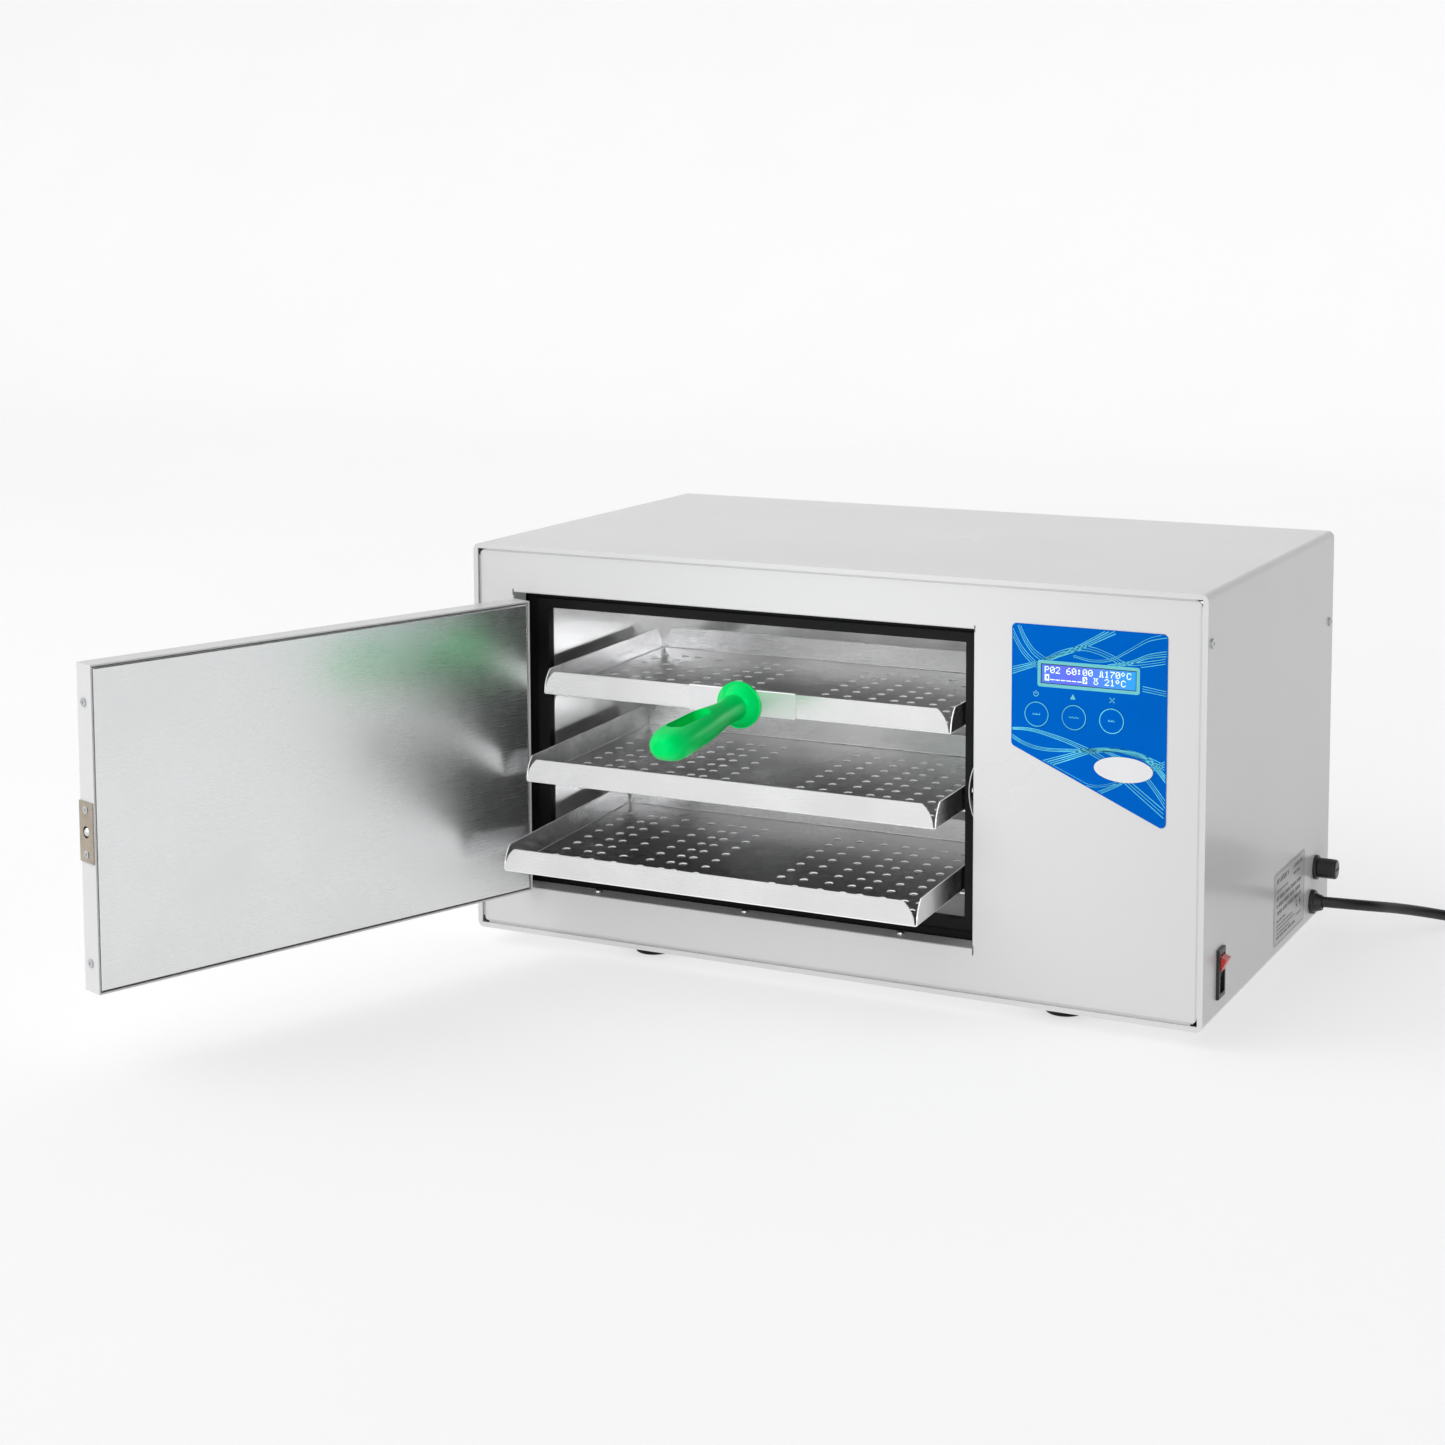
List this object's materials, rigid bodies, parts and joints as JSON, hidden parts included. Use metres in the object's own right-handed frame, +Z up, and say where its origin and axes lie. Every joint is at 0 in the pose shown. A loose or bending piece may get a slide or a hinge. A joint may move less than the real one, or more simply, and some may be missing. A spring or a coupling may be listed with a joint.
{
  "type": "benchtop hot-air steriliser",
  "caption": "White benchtop hot-air steriliser with its door open, perforated stainless trays on guides, a green tray lifter, and a keypad with a small display.",
  "frame": {"origin": "middle of the front left foot's underside, on the surface the cabinet stands on", "axes": "+X towards the cabinet's right side seen from the front, +Y towards its back, +Z up; the cabinet's front faces -Y"},
  "size_m": [0.8505, 0.7731, 0.281],
  "materials": {
    "painted_steel": "semi-gloss powder coat",
    "steel_zinc": "zinc-plated steel",
    "rubber_black": "black rubber",
    "black_enamel": "black enamelled steel",
    "nickel": "dull nickel plate",
    "stainless": "brushed",
    "mineral_wool": "mineral wool board",
    "heater_sheath": "oxidised heater sheath",
    "circuit_board": "circuit board",
    "black_plastic": "black nylon",
    "overlay_print": "satin film",
    "clear_window": "clear display window",
    "key_blue": "dark blue film over the keys",
    "badge_white": "white enamel",
    "label_film": "silver label film",
    "fuse_glass": "glass fuse",
    "steel_bright": "bright steel",
    "grip_green": "satin",
    "cord_black": "black PVC cord sheath",
    "brass_nickel": "nickel-plated brass pins"
  },
  "bodies": {
    "cabinet": {"casing": "painted_steel", "front_panel": "painted_steel", "panel_nuts": "steel_zinc", "back_panel": "painted_steel", "back_brackets": "steel_zinc", "casing_screws": "steel_zinc", "feet": "rubber_black", "foot_screws": "steel_zinc", "seal": "rubber_black", "mouth_flange": "black_enamel", "jamb_rivets": "nickel", "chamber": "stainless", "guide_left": "stainless", "guide_right": "stainless", "insulation": "mineral_wool", "heater_lower": "heater_sheath", "heater_upper": "heater_sheath", "temperature_probe": "stainless", "probe_bracket": "stainless", "divider": "steel_zinc", "control_board": "circuit_board", "lcd_module": "black_plastic", "power_board": "circuit_board", "over_temperature_cutout": "black_plastic", "overlay": "overlay_print", "lcd_window": "clear_window", "badge": "badge_white", "data_plate": "label_film", "switch_housing": "black_plastic", "fuse_holder": "black_plastic", "fuse": "fuse_glass", "cord_bushing": "black_plastic", "hinge_frame_leaves": "nickel", "hinge_pins": "nickel", "strike_box": "steel_zinc", "cord": "cord_black", "coil": "cord_black", "coil_tie": "black_plastic", "cord_tail": "cord_black", "plug": "black_plastic", "plug_pins": "brass_nickel"},
    "door": {"hinge_door_leaves": "nickel", "door_shell": "painted_steel", "door_liner": "stainless", "door_insulation": "mineral_wool", "catch_body": "nickel", "door_screws": "steel_zinc"},
    "catch_ball": {"catch_ball": "steel_bright"},
    "strike": {"strike_leaf": "steel_bright"},
    "tray_top": {"tray_top": "stainless"},
    "tray_middle": {"tray_middle": "stainless"},
    "tray_bottom": {"tray_bottom": "stainless"},
    "lifter": {"lifter_clip": "stainless", "grip": "grip_green", "clip_rivets": "steel_bright"},
    "rocker": {"rocker": "black_plastic"},
    "key_left": {"key_left": "key_blue"},
    "key_middle": {"key_middle": "key_blue"},
    "key_right": {"key_right": "key_blue"},
    "fuse_cap": {"fuse_cap": "black_plastic"}
  },
  "joints": [
    {"name": "door_hinge", "type": "hinge", "parent": "cabinet", "child": "door", "pos_m": [-0.0884, -0.038, 0.1455], "axis": [0, 0, 1], "range_deg": [0, 110]},
    {"name": "tray_top_slide", "type": "slide", "parent": "cabinet", "child": "tray_top", "axis": [0, 1, 0], "range_m": [0, 0.0313]},
    {"name": "tray_middle_slide", "type": "slide", "parent": "cabinet", "child": "tray_middle", "axis": [0, 1, 0], "range_m": [0, 0.0858]},
    {"name": "tray_bottom_slide", "type": "slide", "parent": "cabinet", "child": "tray_bottom", "axis": [0, 1, 0], "range_m": [0, 0.1436]},
    {"name": "lifter_lift", "type": "slide", "parent": "cabinet", "child": "lifter", "axis": [0, 0, 1], "range_m": [0, 0.152]},
    {"name": "strike_press", "type": "slide", "parent": "cabinet", "child": "strike", "axis": [1, 0, 0], "range_m": [0, 0.0042]},
    {"name": "catch_press", "type": "slide", "parent": "door", "child": "catch_ball", "axis": [0.342, 0.9397, 0], "range_m": [0, 0.0016], "stiffness_N_per_m": 400},
    {"name": "rocker_tilt", "type": "hinge", "parent": "cabinet", "child": "rocker", "pos_m": [0.3965, 0, 0.0392], "axis": [0, -1, 0], "range_deg": [0, 24]},
    {"name": "fuse_cap_turn", "type": "hinge", "parent": "cabinet", "child": "fuse_cap", "pos_m": [0.398, 0.238, 0.048], "axis": [-1, 0, 0], "range_deg": [0, 90]},
    {"name": "key_left_press", "type": "slide", "parent": "cabinet", "child": "key_left", "axis": [0, 1, 0], "range_m": [0, 0.0003], "stiffness_N_per_m": 400},
    {"name": "key_middle_press", "type": "slide", "parent": "cabinet", "child": "key_middle", "axis": [0, 1, 0], "range_m": [0, 0.0003], "stiffness_N_per_m": 400},
    {"name": "key_right_press", "type": "slide", "parent": "cabinet", "child": "key_right", "axis": [0, 1, 0], "range_m": [0, 0.0003], "stiffness_N_per_m": 400}
  ],
  "couplings": [
    {"joint": "tray_top_slide", "follows": "door_hinge", "m_per_rad": 0.016303},
    {"joint": "tray_middle_slide", "follows": "door_hinge", "m_per_rad": 0.04469},
    {"joint": "tray_bottom_slide", "follows": "door_hinge", "m_per_rad": 0.074797},
    {"joint": "lifter_lift", "follows": "door_hinge", "m_per_rad": 0.079172},
    {"joint": "strike_press", "follows": "door_hinge", "m_per_rad": 0.002187}
  ]
}
